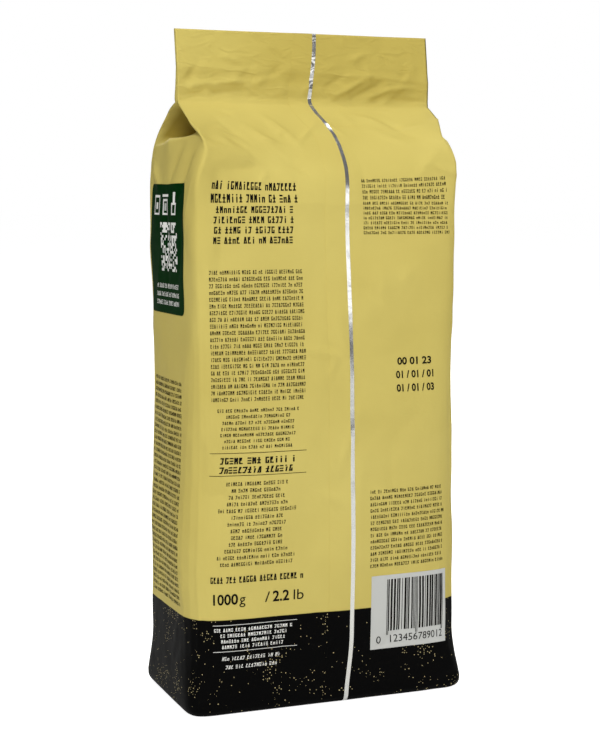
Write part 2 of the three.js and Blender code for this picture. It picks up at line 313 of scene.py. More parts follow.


# %% The relief of the header
# Creases placed on the web: (start, end, width, height).
HEADER_CREASES = [
    ((9, 296), (37, 311), 1.3, -1.5),
    ((17, 295), (46, 309), 1.3, 1.3),
    ((27, 296), (50, 306), 1.2, -1.1),
    ((6, 301), (24, 312), 1.2, 1.0),
    ((-46, 318), (-30, 313), 1.3, -0.9),
    ((-20, 322), (-9, 315), 1.2, 0.8),
    ((20, 316), (36, 321), 1.3, -0.9),
    ((38, 322), (46, 314), 1.2, 0.7),
    ((-62, 303), (-20, 306), 1.3, -1.0),
    ((-52, 299), (-24, 302), 1.2, 0.8),
    ((36, 303), (64, 305), 1.3, -1.0),
]


def header_relief(side, up):
    """How far all the header's plies are pushed towards the front, at a place on it."""
    total = band(side, up, NECK + 2.8, 1.7, 22.0, 1.0, 0.25, 4)
    total += band(side, up, NECK + 6.4 - 0.01 * side, 1.4, 1.2, -0.3, 0.5, 2)
    total += band(side, up, NECK + 14.8 - 0.036 * side, 1.6, 1.4, -0.7 - 0.004 * side, 0.5, 1)
    whole = (-BACK_FOLD, BACK_FOLD)
    fold_zone = (*whole, NECK, TOP - 15)
    seal_zone = (*whole, TOP - 18, TOP - 2)
    total += scattered(side, up, 70, fold_zone, (6, 24), (1.0, 2.2), (0.25, 0.7), (0.5, 0.9), 3)
    total += scattered(side, up, 26, seal_zone, (6, 18), (1.0, 2.2), (0.12, 0.4), (0.2, 1.2), 4)
    total += 0.5 * lumps(side, up, 24, 5)
    for start, end, width, height in HEADER_CREASES:
        total += crease(side, up, start, end, width, height)
    edge = 1 - 0.7 * smooth(BACK_FOLD - 8, BACK_FOLD, np.abs(side))
    edge = edge * (1 - 0.85 * smooth(NECK + 14, NECK + 18, up) * np.exp(-((side / 12) ** 2)))
    return 1.2 * total * edge * smooth(NECK - 1, NECK + 1.5, up)


# %% The relief of the body
SEAM_CREASES = [
    ((-22, 173), (10, 166), 1.6, 0.9),
    ((-6, 178), (9, 162), 1.5, -0.8),
    ((-14, 168), (-2, 150), 1.8, 0.6),
    ((12, 205), (26, 190), 2.0, -0.6),
    ((-8, 104), (8, 96), 1.8, 0.7),
]
SHOULDER_CREASES = [
    ((-30, 292), (-6, 260), 2.6, 1.3),
    ((-42, 286), (-16, 254), 3.0, 1.1),
    ((-54, 290), (-34, 262), 2.4, -1.0),
    ((16, 291), (46, 276), 2.4, 1.1),
    ((28, 290), (60, 266), 2.6, -1.1),
    ((22, 282), (54, 262), 3.0, 0.9),
    ((-64, 264), (-30, 254), 2.6, 1.2),
    ((-60, 258), (-46, 228), 2.6, -0.8),
    ((62, 266), (42, 246), 3.0, 1.2),
    ((42, 4), (68, 9), 1.6, -1.4),
]
GUSSET_CREASES = [
    ((-68, 264), (-98, 234), 4.0, -2.0),
    ((-66, 256), (-80, 222), 3.4, 1.1),
    ((-82, 262), (-106, 244), 2.6, -1.8),
    ((-136, 256), (-112, 243), 2.6, 1.8),
    ((-108, 252), (-100, 206), 3.4, -1.2),
    ((-78, 240), (-90, 196), 3.0, -0.6),
    ((66, 262), (88, 230), 3.2, 1.2),
    ((127, 262), (104, 248), 2.6, 1.0),
    ((104, 252), (98, 210), 3.4, -0.8),
]
VALVE_UP = 226  # the valve's middle, up the web of the front panel
VALVE_RADIUS = 11.0  # its flange shows through the film as a raised ring
FOLD_LINE_LOW, FOLD_LINE_HIGH = 18, 258  # the web's own folds show as faint ridges between these


def relief(across, up):
    """How far each point of the body's film stands off the smooth form, in millimetres."""
    total = 1.3 * lumps(across, up, 38, 1) * smooth(4, 40, up) * (1 - smooth(278, 292, up))
    total *= 1 - 0.75 * np.exp(-((across / 20) ** 2)) * smooth(120, 170, up)
    total += 0.2 * lumps(across, up, 12, 2) * smooth(30, 80, up) * (1 - smooth(270, 290, up))
    panel = (-BACK_FOLD, BACK_FOLD)
    shoulder_zone = (*panel, 246, NECK - 2)
    body_zone = (*panel, 20, 245)
    short, narrow = (10, 34), (1.2, 2.6)
    long, wide = (18, 70), (1.8, 4.5)
    total += scattered(across, up, 30, shoulder_zone, short, narrow, (0.4, 1.1), (-0.5, 0.7), 5)
    total += scattered(across, up, 30, body_zone, long, wide, (0.2, 0.7), (1.5, 0.5), 6)
    gussets = ((-FRONT_FOLD, -BACK_FOLD, 20, 250), (BACK_FOLD, FRONT_FOLD, 20, 250))
    for seed, zone in enumerate(gussets, 7):
        tall, lean = (0.15, 0.45), (1.5, 0.6)
        total += scattered(across, up, 16, zone, (15, 50), (1.8, 4.0), tall, lean, seed)
    front = (FRONT_FOLD, FRONT_MIDDLE + BACK_FOLD)
    front_shoulder = (*front, 244, NECK - 2)
    front_body = (*front, 20, 245)
    wrapped = np.where(across < 0, across + 2 * FRONT_MIDDLE, across)
    total += scattered(wrapped, up, 24, front_shoulder, short, narrow, (0.2, 0.6), (0.5, 0.7), 9)
    total += scattered(wrapped, up, 26, front_body, long, wide, (0.1, 0.35), (1.5, 0.5), 10)
    for start, end, width, height in SHOULDER_CREASES + GUSSET_CREASES + SEAM_CREASES:
        total += crease(across, up, start, end, width, height)
    for fold in (BACK_FOLD, FRONT_FOLD):
        beside = np.abs(np.abs(across) - fold)
        shown = smooth(FOLD_LINE_LOW, FOLD_LINE_LOW + 12, up)
        shown = shown * (1 - smooth(FOLD_LINE_HIGH - 12, FOLD_LINE_HIGH, up))
        total += 0.28 * np.exp(-beside / 0.9) * shown
    # The fin stiffens the film under it, so the shoulder turns a little higher there.
    total += 1.5 * np.exp(-(((up - 250) / 8.5) ** 2)) * np.exp(-((across / 17) ** 2))
    total *= (0.25 + 0.75 * smooth(0, 14, up)) * (1 - smooth(NECK - 9, NECK - 2, up))
    from_valve = np.hypot(FRONT_MIDDLE - np.abs(across), up - VALVE_UP)
    ring = 0.45 * np.exp(-(((from_valve - VALVE_RADIUS) / 1.1) ** 2))
    return total * smooth(VALVE_RADIUS + 1, VALVE_RADIUS + 7, from_valve) + ring


print("placed", len(HEADER_CREASES + SEAM_CREASES + SHOULDER_CREASES + GUSSET_CREASES), "creases by hand")


# %% [markdown]
# ## Building the skin
#
# `bmesh.ops.create_grid` makes the flat web, with one column every 1.25 mm so that every
# fold lies on a column. Each point remembers its place on the web as a UV map, in
# millimetres, which is what the print follows. Then the points are moved to their places,
# the two long edges are welded, and the base and the cut edge are closed.

# %% The rows of the grid
COLUMN = 1.25
COLUMNS = round(2 * FRONT_MIDDLE / COLUMN)
FLAP_ROWS = 12  # across the flaps folded under the base
CURL_ROWS = 9  # round the edge of the base


def row_heights():
    """Web heights for the rows above the base's curl: fine on the shoulder and header."""
    body = np.linspace(BASE_RADIUS, SHOULDER - 4, 142)[1:]
    return np.concatenate([body, np.arange(SHOULDER - 3, TOP + 0.01, 1.0)])


WALL = row_heights()
ROWS = FLAP_ROWS + CURL_ROWS + len(WALL)
print("the film has", COLUMNS, "columns and", ROWS, "rows")


def under_base(wall, turn):
    """The foot of the wall, moved along the curl: turn runs from 0 underneath to a right angle."""
    point = wall.copy()
    inset = BASE_RADIUS * (1 - math.sin(turn))
    size = np.max(np.abs(point), axis=0)
    for axis in (0, 1):
        point[..., axis] *= 1 - inset / size[axis]
    point[..., 2] = BASE_RADIUS * (1 - math.cos(turn))
    return point


# %% Every point of the skin
def outward(grid):
    """The unit normals of a grid of points whose columns run right round the bag."""
    round_bag = np.concatenate([grid[:, -2:-1], grid, grid[:, 1:2]], axis=1)
    found = np.cross(np.gradient(round_bag, axis=1), np.gradient(round_bag, axis=0))[:, 1:-1]
    return found / (np.linalg.norm(found, axis=-1, keepdims=True) + 1e-9)


def film_points():
    """The skin's points, [row, column], in millimetres, and the web place of each."""
    columns = np.linspace(-FRONT_MIDDLE, FRONT_MIDDLE, COLUMNS + 1)
    across, up = np.meshgrid(columns, WALL)
    wall = soft_film(across, up)
    wall = wall + outward(wall) * relief(across, up)[..., None]
    wall[..., 1] += header_relief(wall[..., 0], up)
    wall[:, -1] = wall[:, 0]
    foot = wall[0]
    rows = []
    heights = []
    inner = under_base(foot, 0)
    gusset = (np.abs(columns) > BACK_FOLD) & (np.abs(columns) < FRONT_FOLD)
    deep = 1 - np.abs(np.abs(columns) - TUCK_FOLD) / (GUSSET / 2)
    for share in np.linspace(1, 0, FLAP_ROWS, endpoint=False):
        flap = inner.copy()
        flap[:, 1] *= 1 - 0.985 * share
        pull = np.where(gusset, deep, 0) * share * 30
        flap[:, 0] -= np.sign(columns) * pull
        flap[:, 2] = 1.2 * smooth(0.35, 0.85, share)
        flap[:, 2] += np.where(gusset, 0.9 * deep * (0.15 + share), 0)
        rows.append(flap)
        heights.append(-GUSSET / 2 * share)
    for turn in np.linspace(0, math.pi / 2, CURL_ROWS + 1)[:-1]:
        rows.append(under_base(foot, turn))
        heights.append(BASE_RADIUS * (1 - math.cos(turn)))
    points = np.concatenate([np.array(rows), wall])
    web_up = np.concatenate([np.array(heights), WALL])
    return points, columns, web_up


points, columns, web_up = film_points()
print("film points run from", points.min((0, 1)).round(1), "to", points.max((0, 1)).round(1))


# %% Make the mesh
def object_from(shape, name, smooth_faces=True):
    """A finished bmesh as an object at the origin."""
    for face in shape.faces:
        face.smooth = smooth_faces
    mesh = bpy.data.meshes.new(name)
    shape.to_mesh(mesh)
    shape.free()
    made = bpy.data.objects.new(name, mesh)
    bpy.context.scene.collection.objects.link(made)
    return made


def make_film():
    """The skin: a flat grid that keeps its web places as a map, moved to its points and closed."""
    flat = bmesh.new()
    last_row = len(web_up) - 1
    bmesh.ops.create_grid(flat, x_segments=COLUMNS, y_segments=last_row, size=1)
    film_map = flat.loops.layers.uv.new("film_mm")
    for face in flat.faces:
        for loop in face.loops:
            column = round((loop.vert.co.x + 1) / 2 * COLUMNS)
            row = round((loop.vert.co.y + 1) / 2 * last_row)
            loop[film_map].uv = (columns[column], web_up[row])
    for vert in flat.verts:
        column = round((vert.co.x + 1) / 2 * COLUMNS)
        row = round((vert.co.y + 1) / 2 * last_row)
        vert.co = Vector(points[row, column]) * MM
    bmesh.ops.remove_doubles(flat, verts=flat.verts, dist=0.000001)
    open_edges = [edge for edge in flat.edges if edge.is_boundary]
    bmesh.ops.holes_fill(flat, edges=open_edges)
    bmesh.ops.recalc_face_normals(flat, faces=flat.faces)
    return object_from(flat, "bag_film")


film = make_film()
print("the film has", len(film.data.polygons), "faces")
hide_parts("film_pouch", "header_plies", "top_seal")

# %% [markdown]
# ## Laying things on the film
#
# The seam, the print and the beans all follow the skin. So one helper gives the point of the
# skin at any place on the web, lifted a little off it. Flat shapes are drawn on the web in
# millimetres and then laid on the skin by moving their points.

# %% Points on the skin
STEP = 1.25  # flat shapes are cut into squares or lengths of about this, in millimetres
normals = outward(points)


def on_film(across, up, lift):
    """The place in metres of a web point, lift millimetres off the film."""
    column = (across + FRONT_MIDDLE) % (2 * FRONT_MIDDLE) / COLUMN
    row = float(np.interp(up, web_up, np.arange(len(web_up))))
    left, low = min(int(column), COLUMNS - 1), min(int(row), len(web_up) - 2)
    over, rise = column - left, row - low
    place = 0
    for grid, size in ((points, 1), (normals, lift)):
        bottom = grid[low, left] * (1 - over) + grid[low, left + 1] * over
        top = grid[low + 1, left] * (1 - over) + grid[low + 1, left + 1] * over
        place = place + size * (bottom * (1 - rise) + top * rise)
    return Vector(place) * MM


def lay_on_film(shape, lift, shift=lambda up: 0):
    """Moves a flat bmesh drawn on the web onto the skin. lift is a number or a function of the point."""
    for vert in shape.verts:
        across, up, stacked = vert.co
        height = stacked + (lift(across, up) if callable(lift) else lift)
        vert.co = on_film(across + shift(up), up, height)


def patch(shape, left, low, right, high, step=STEP):
    """Adds a rectangle of the web, in squares no bigger than step, and returns its points."""
    wide = max(1, math.ceil((right - left) / step))
    tall = max(1, math.ceil((high - low) / step))
    made = bmesh.ops.create_grid(shape, x_segments=wide, y_segments=tall, size=0.5)["verts"]
    bmesh.ops.scale(shape, verts=made, vec=(right - left, high - low, 1))
    bmesh.ops.translate(shape, verts=made, vec=((left + right) / 2, (low + high) / 2, 0))
    return made


# %% [markdown]
# ## The back fin
#
# The two edges of the web are welded face to face, and the weld is folded flat to one side.
# The upper ply is printed, except for a margin about 2 mm wide along its cut edge, where
# the foil shows as a silver line. The fin wanders sideways where it climbs the shoulder. It is a grid
# laid on the skin, lying flush at its root and standing two plies proud at its edge.

# %% The fin
FIN_ROOT = -2.3  # from the panel's middle to the fin's root
FIN_WIDTH = 12.0
FIN_FOOT = 1.0  # how far up the web the fin starts
FIN_PLIES = 0.30  # the thickness of its two plies
SILVER = 1.9  # the width of the bare margin


def fin_drift(up):
    """How far the fin has wandered along the web's width."""
    over_shoulder = 1.6 * smooth(SHOULDER - 6, 262, up) - 8.4 * smooth(265, NECK + 3, up)
    up_header = 3.2 * smooth(NECK, TOP, up)
    foot = -2.2 * (1 - smooth(0, 34, up))
    return float(over_shoulder + up_header + foot)


def make_fin():
    """The fin: a long rectangle of the web, given two plies of thickness and laid on the skin."""
    shape = bmesh.new()
    patch(shape, 0, FIN_FOOT, FIN_WIDTH, TOP, step=1.2)
    fin_map = shape.loops.layers.uv.new("film_mm")
    for face in shape.faces:
        for loop in face.loops:
            loop[fin_map].uv = (loop.vert.co.x, loop.vert.co.y)
    made = bmesh.ops.extrude_face_region(shape, geom=shape.faces[:])["geom"]
    raised = [item for item in made if isinstance(item, bmesh.types.BMVert)]
    bmesh.ops.translate(shape, verts=raised, vec=(0, 0, FIN_PLIES))
    lay_on_film(
        shape,
        lambda across, up: 0.04 - 0.26 * (1 - across / FIN_WIDTH) ** 3,
        lambda up: FIN_ROOT + fin_drift(up),
    )
    bmesh.ops.recalc_face_normals(shape, faces=shape.faces)
    for edge in shape.edges:
        edge.smooth = edge.calc_face_angle(0) < math.radians(50)
    return object_from(shape, "back_fin")


fin = make_fin()
print("the fin has", len(fin.data.polygons), "faces")
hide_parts("back_fin_seam", "header_fin_seam")

# %% [markdown]
# ## The beans
#
# Inside, the beans fill the bag up to the shoulder. They can't be seen, so one closed heap
# that follows the film from within stands for them. It is the skin's own shape, drawn in by
# a millimetre and a half and closed across the top.


# %% The heap of beans
HEAP_TOP = 244  # the heap's height
HEAP_LOW, HEAP_HIGH = 4.0, 248.0  # the part of the web that it follows


def heap_lift(across, up):
    """The heap lies just inside the film, and makes room for the valve."""
    from_valve = math.hypot(FRONT_MIDDLE - abs(across), up - VALVE_UP)
    return -1.5 - 6 * smooth(13, 9, from_valve)


def make_beans():
    """The heap: a grid that follows the skin, cut off level at its top."""
    shape = bmesh.new()
    bmesh.ops.create_grid(shape, x_segments=82, y_segments=60, size=0.5)
    bmesh.ops.scale(shape, verts=shape.verts, vec=(2 * FRONT_MIDDLE, HEAP_HIGH - HEAP_LOW, 1))
    bmesh.ops.translate(shape, verts=shape.verts, vec=(0, (HEAP_LOW + HEAP_HIGH) / 2, 0))
    lay_on_film(shape, heap_lift)
    for vert in shape.verts:
        vert.co.z = min(vert.co.z, HEAP_TOP * MM)
        if vert.co.z > (HEAP_TOP - 0.5) * MM:
            vert.co.xy *= 0.94
    bmesh.ops.remove_doubles(shape, verts=shape.verts, dist=0.00001)
    bmesh.ops.holes_fill(shape, edges=[edge for edge in shape.edges if edge.is_boundary])
    bmesh.ops.recalc_face_normals(shape, faces=shape.faces)
    return object_from(shape, "bean_heap")


beans = make_beans()
print("the heap has", len(beans.data.polygons), "faces")
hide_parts("bean_fill")
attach(beans, "pouch")

# %% [markdown]
# ## Finishes
#
# The film is a laminate: polyester printed on its inner face, over aluminium foil, over the
# polyethylene that welds. The print is matt with a satin sheen. Its colours are set as sRGB
# hex values, which one function turns to linear.


# %% Colour and node helpers
def colour(code):
    """An sRGB hex colour as linear RGBA."""
    parts = [int(code[i : i + 2], 16) / 255 for i in (1, 3, 5)]
    linear = [p / 12.92 if p <= 0.04045 else ((p + 0.055) / 1.055) ** 2.4 for p in parts]
    return (*linear, 1)


def new_material(name, **sockets):
    """A material with its Principled shader's sockets set by name."""
    material = bpy.data.materials.new(name)
    material.use_nodes = True
    shader = material.node_tree.nodes["Principled BSDF"]
    for socket, value in sockets.items():
        shader.inputs[socket.replace("_", " ")].default_value = value
    return material, material.node_tree, shader


def add(tree, kind, links=(), settings=(), **inputs):
    """Adds a node, sets its properties and inputs, and links (input, source socket) pairs."""
    node = tree.nodes.new(kind)
    for name, value in settings:
        setattr(node, name, value)
    for name, value in inputs.items():
        node.inputs[name.replace("_", " ")].default_value = value
    for target, source in links:
        tree.links.new(source, node.inputs[target])
    return node


# %% Printed laminate
YELLOW = "#dccc76"
# A deeper yellow: the film drifts towards it at random, and the header is darkened towards it as painted
# shade, more towards the right.
YELLOW_DRIFT_AND_HEADER_SHADE = "#c0ad58"
# A dark yellow, painted shade on the tucked gussets.
YELLOW_PAINTED_RECESS_SHADE = "#8c7520"
BLACK = "#070707"
GOLD = "#cfc08e"
FOIL = "#e8e8e4"
MATT = 0.5  # the print's roughness
PRINT_SPECULAR = 0.03  # the matt lacquer has almost no shine of its own
BLACK_TOP = 46  # the top of the black band, in millimetres up the web


def film_coordinates(tree):
    """The web place, in millimetres, as a vector and as its two parts."""
    place = add(tree, "ShaderNodeUVMap", settings=[("uv_map", "film_mm")]).outputs["UV"]
    parts = add(tree, "ShaderNodeSeparateXYZ", [("Vector", place)])
    return place, parts.outputs["X"], parts.outputs["Y"]


def gold_specks(tree, place):
    """A mask of small gold spots, in loose clusters."""
    cells = add(
        tree, "ShaderNodeTexVoronoi", [("Vector", place)],
        [("voronoi_dimensions", "2D")], Scale=1.05,
    )
    clusters = add(
        tree, "ShaderNodeTexNoise", [("Vector", place)],
        [("noise_dimensions", "2D")], Scale=0.055, Detail=2, Roughness=0.6,
    )
    share = add(
        tree, "ShaderNodeMapRange", [("Value", clusters.outputs["Fac"])],
        From_Min=0.50, From_Max=0.80, To_Min=0.015, To_Max=0.5,
    )
    chance = add(tree, "ShaderNodeSeparateColor", [("Color", cells.outputs["Color"])])
    kept = add(
        tree, "ShaderNodeMath", [(0, chance.outputs["Red"]), (1, share.outputs["Result"])],
        [("operation", "LESS_THAN")],
    )
    size = add(
        tree, "ShaderNodeMapRange", [("Value", chance.outputs["Green"])],
        From_Min=0, From_Max=1, To_Min=0.08, To_Max=0.27,
    )
    spot = add(
        tree, "ShaderNodeMath", [(0, cells.outputs["Distance"]), (1, size.outputs["Result"])],
        [("operation", "LESS_THAN")],
    )
    return add(
        tree, "ShaderNodeMath", [(0, kept.outputs[0]), (1, spot.outputs[0])],
        [("operation", "MULTIPLY")],
    ).outputs[0]


def painted_recess_shade_mask(tree, place, up):
    """A mask of painted shade on the tucked gussets, for the light that their facing walls lose to each
    other.
    """
    parts = add(tree, "ShaderNodeSeparateXYZ", [("Vector", place)])
    side = add(tree, "ShaderNodeMath", [(0, parts.outputs["X"])], [("operation", "ABSOLUTE")])
    from_fold = add(
        tree, "ShaderNodeMapRange", [("Value", side.outputs[0])],
        From_Min=BACK_FOLD + 1, From_Max=BACK_FOLD + 8,
    )
    to_fold = add(
        tree, "ShaderNodeMapRange", [("Value", side.outputs[0])],
        From_Min=FRONT_FOLD - 8, From_Max=FRONT_FOLD - 1, To_Min=1, To_Max=0,
    )
    above = add(
        tree, "ShaderNodeMapRange", [("Value", up)],
        From_Min=TUCK_START + 1, From_Max=TUCK_START + 8, To_Min=0, To_Max=0.8,
    )
    between = add(
        tree, "ShaderNodeMath", [(0, from_fold.outputs["Result"]), (1, to_fold.outputs["Result"])],
        [("operation", "MULTIPLY")],
    )
    return add(
        tree, "ShaderNodeMath", [(0, between.outputs[0]), (1, above.outputs["Result"])],
        [("operation", "MULTIPLY")],
    ).outputs[0]


def printed_colour(tree, place, up):
    """The print: warm yellow above, black with gold specks below, with painted shade on the header, darker
    towards the right, and on the tucked gussets.
    """
    where = add(tree, "ShaderNodeTexCoord").outputs["Object"]
    drift = add(tree, "ShaderNodeTexNoise", [("Vector", where)], Scale=0.012 / MM, Detail=3, Roughness=0.5)
    header = add(tree, "ShaderNodeMapRange", [("Value", up)], From_Min=NECK - 2, From_Max=NECK + 12)
    parts = add(tree, "ShaderNodeSeparateXYZ", [("Vector", where)])
    # Painted shade: across the header, darker towards the right.
    pressed = add(
        tree, "ShaderNodeMapRange", [("Value", parts.outputs["X"])],
        From_Min=-40 * MM, From_Max=60 * MM, To_Min=0.15, To_Max=0.9,
    )
    drift_and_header_shade = add(
        tree, "ShaderNodeMath",
        [(0, header.outputs["Result"]), (1, pressed.outputs["Result"]), (2, drift.outputs["Fac"])],
        [("operation", "MULTIPLY_ADD")],
    )
    open_film = add(tree, "ShaderNodeMix", [("Factor", drift_and_header_shade.outputs[0])], [("data_type", "RGBA")])
    open_film.inputs[6].default_value = colour(YELLOW)
    open_film.inputs[7].default_value = colour(YELLOW_DRIFT_AND_HEADER_SHADE)
    # Painted shade: the tucked gussets are darkened towards a dark yellow.
    yellow = add(tree, "ShaderNodeMix", [("Factor", painted_recess_shade_mask(tree, place, up))], [("data_type", "RGBA")])
    tree.links.new(open_film.outputs[2], yellow.inputs[6])
    yellow.inputs[7].default_value = colour(YELLOW_PAINTED_RECESS_SHADE)
    dark = add(
        tree, "ShaderNodeMix", [("Factor", gold_specks(tree, place))], [("data_type", "RGBA")],
    )
    dark.inputs[6].default_value = colour(BLACK)
    dark.inputs[7].default_value = colour(GOLD)
    above = add(
        tree, "ShaderNodeMapRange", [("Value", up)],
        From_Min=BLACK_TOP - 0.15, From_Max=BLACK_TOP + 0.15,
    )
    both = add(
        tree, "ShaderNodeMix", [("Factor", above.outputs["Result"])], [("data_type", "RGBA")],
    )
    tree.links.new(dark.outputs[2], both.inputs[6])
    tree.links.new(yellow.outputs[2], both.inputs[7])
    return both.outputs[2]


def film_bump(tree, place, up):
    """Shallow hollows 9 mm wide, and sharp creases 4 mm wide where the header folds."""
    hollows = add(
        tree, "ShaderNodeTexNoise", [("Vector", place)],
        [("noise_dimensions", "2D")], Scale=0.11, Detail=4, Roughness=0.45,
    )
    soft = add(
        tree, "ShaderNodeBump", [("Height", hollows.outputs["Fac"])],
        Strength=0.35, Distance=0.6 * MM,
    )
    wide = add(tree, "ShaderNodeMapping", [("Vector", place)], Scale=(0.09, 0.26, 1))
    creases = add(
        tree, "ShaderNodeTexNoise", [("Vector", wide.outputs["Vector"])],
        [("noise_dimensions", "2D"), ("noise_type", "RIDGED_MULTIFRACTAL")],
        Scale=1, Detail=3, Roughness=0.5, Distortion=0.8,
    )
    folded = add(
        tree, "ShaderNodeMapRange", [("Value", up)],
        From_Min=NECK - 8, From_Max=NECK + 3, To_Min=0.06, To_Max=0.5,
    )
    return add(
        tree, "ShaderNodeBump",
        [("Height", creases.outputs["Fac"]), ("Strength", folded.outputs["Result"]),
         ("Normal", soft.outputs["Normal"])],
        Distance=0.6 * MM,
    ).outputs["Normal"]


film_finish, tree, shader = new_material(
    "matt printed laminate", Roughness=MATT, Specular_IOR_Level=PRINT_SPECULAR
)
place, _, up = film_coordinates(tree)
tree.links.new(printed_colour(tree, place, up), shader.inputs["Base Color"])
tree.links.new(film_bump(tree, place, up), shader.inputs["Normal"])
film.data.materials.append(film_finish)
print("the laminate has", len(tree.nodes), "nodes")

# %% [markdown]
# The fin is the same print, with bare foil along its cut edge. Foil is a metal, so the
# margin turns metallic and smoother. The same creases crinkle it where the header was folded.

# %% The fin's finish
fin_finish, tree, shader = new_material(
    "printed laminate with a foil edge", Specular_IOR_Level=PRINT_SPECULAR
)
place, across, up = film_coordinates(tree)
silver = add(
    tree, "ShaderNodeMath", [(0, across)], [("operation", "GREATER_THAN")],
)
silver.inputs[1].default_value = FIN_WIDTH - SILVER
tint = add(tree, "ShaderNodeMix", [("Factor", silver.outputs[0])], [("data_type", "RGBA")])
tree.links.new(printed_colour(tree, place, up), tint.inputs[6])
tint.inputs[7].default_value = colour(FOIL)
tree.links.new(tint.outputs[2], shader.inputs["Base Color"])
metal = add(tree, "ShaderNodeMath", [(0, silver.outputs[0])], [("operation", "MULTIPLY")])
metal.inputs[1].default_value = 0.9
tree.links.new(metal.outputs[0], shader.inputs["Metallic"])
gloss = add(tree, "ShaderNodeMapRange", [("Value", silver.outputs[0])], To_Min=MATT, To_Max=0.22)
tree.links.new(gloss.outputs["Result"], shader.inputs["Roughness"])
tree.links.new(film_bump(tree, place, up), shader.inputs["Normal"])
fin.data.materials.append(fin_finish)
print("the fin's finish has", len(tree.nodes), "nodes")

# %% [markdown]
# Roasted beans are dark brown with an oily sheen. Rounded cells 9 mm across stand for the
# single beans, each darker towards its border as painted shade in the gaps between beans.

# %% The beans' finish
BEAN_MM = 9
bean_finish, tree, shader = new_material("roasted coffee beans", Roughness=0.38, IOR=1.47)
spot = add(tree, "ShaderNodeTexCoord").outputs["Object"]
cells = add(tree, "ShaderNodeTexVoronoi", [("Vector", spot)], Scale=1 / (BEAN_MM * MM))
# Painted shade: each cell is darker towards its border, where the beans meet.
bean_tone_and_gap_shade = add(tree, "ShaderNodeMix", [("Factor", cells.outputs["Distance"])], [("data_type", "RGBA")])
bean_tone_and_gap_shade.inputs[6].default_value = colour("#4a2c1a")
bean_tone_and_gap_shade.inputs[7].default_value = colour("#1e100a")
tree.links.new(bean_tone_and_gap_shade.outputs[2], shader.inputs["Base Color"])
beading = add(
    tree, "ShaderNodeBump", [("Height", cells.outputs["Distance"])],
    [("invert", True)], Strength=1.0, Distance=3 * MM,
)
tree.links.new(beading.outputs["Normal"], shader.inputs["Normal"])
beans.data.materials.append(bean_finish)
print("the beans' finish has", len(tree.nodes), "nodes")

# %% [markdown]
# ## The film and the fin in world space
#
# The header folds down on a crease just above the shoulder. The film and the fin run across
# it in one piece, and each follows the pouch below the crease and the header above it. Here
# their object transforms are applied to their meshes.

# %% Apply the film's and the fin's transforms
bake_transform(film)
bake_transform(fin)

# %% [markdown]
# ## The print
#
# Packs like this carry blocks of small text, a bar code, two rules round the roast and a
# green panel on the gusset. Here the words are greeked: each line is a row of small strokes
# that only have the rhythm and weight of text, so they spell nothing. Only plain numbers
# and units are real characters. Every mark is a small flat mesh drawn on the web and laid
# on the film, so it stays crisp close up.

# %% Inks
INK_LIFT = 0.10  # the print stands this far off the film, in millimetres, so that it shows


def ink(name, code):
    """Printing ink: one flat colour, matt, on the same film."""
    finish, _, _ = new_material(
        name, Base_Color=colour(code), Roughness=0.55, Specular_IOR_Level=PRINT_SPECULAR
    )
    return finish


INKS = {
    "black": ink("black ink", "#171512"),
    "white": ink("white ink", "#e9e9e4"),
    "green": ink("green ink", "#012b07"),
    "pale grey": ink("pale grey ink", "#c9cac6"),
    "brown": ink("brown ink", "#3a2313"),
}


def print_piece(name, ink_name, draw, lift=INK_LIFT):
    """Draws on the web, lays the drawing on the film, and prints it in one ink."""
    shape = bmesh.new()
    draw(shape)
    lay_on_film(shape, lift)
    made = object_from(shape, name)
    made.data.materials.append(INKS[ink_name])
    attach(made, "pouch")
    print(name, "has", len(made.data.polygons), "faces")
    return made


def mark(shape, left, low, right, high, lean=0.0):
    """One stroke: a four-sided face of the web, leaning for italics."""
    shift = lean * (high - low)
    corners = ((left, low), (right, low), (right + shift, high), (left + shift, high))
    shape.faces.new([shape.verts.new((x, y, 0)) for x, y in corners])


def strip(shape, left, low, right, high):
    """A long stroke in short lengths, so that it follows the film's curves."""
    pieces = max(1, math.ceil(max(right - left, high - low) / STEP))
    for index in range(pieces):
        if right - left > high - low:
            width = (right - left) / pieces
            mark(shape, left + index * width, low, left + (index + 1) * width, high)
        else:
            height = (high - low) / pieces
            mark(shape, left, low + index * height, right, low + (index + 1) * height)


# %% Greeked words
# A glyph is a few strokes in a box one wide and one tall: (left, low, right, high, lean).
GLYPHS = [
    [(0.1, 0, 0.32, 1, 0), (0.32, 0.5, 0.54, 1, 0.3), (0.4, 0, 0.8, 0.18, 0)],
    [(0.05, 0, 0.28, 1, 0.27), (0.65, 0, 0.88, 1, -0.27), (0.2, 0, 0.7, 0.18, 0)],
    [(0.1, 0, 0.85, 0.2, 0), (0.1, 0.4, 0.85, 0.58, 0), (0.1, 0.8, 0.85, 1, 0)],
    [(0.1, 0, 0.32, 1, 0), (0.62, 0, 0.84, 1, 0), (0.3, 0.35, 0.5, 0.9, 0.15)],
    [(0.1, 0, 0.32, 0.72, 0), (0.32, 0.54, 0.84, 0.72, 0), (0.62, 0, 0.84, 0.54, 0)],
    [(0.32, 0, 0.54, 1, 0.3), (0.1, 0.8, 0.85, 1, 0), (0.05, 0, 0.5, 0.18, 0)],
    [
        (0.1, 0, 0.32, 1, 0), (0.32, 0.8, 0.84, 1, 0),
        (0.32, 0, 0.84, 0.2, 0), (0.62, 0.2, 0.84, 0.5, 0),
    ],
    [(0.36, 0, 0.6, 0.72, 0), (0.36, 0.84, 0.6, 1, 0)],
    [(0.1, 0, 0.8, 0.18, 0), (0.34, 0.18, 0.58, 1, 0), (0.1, 0.5, 0.8, 0.66, 0)],
]


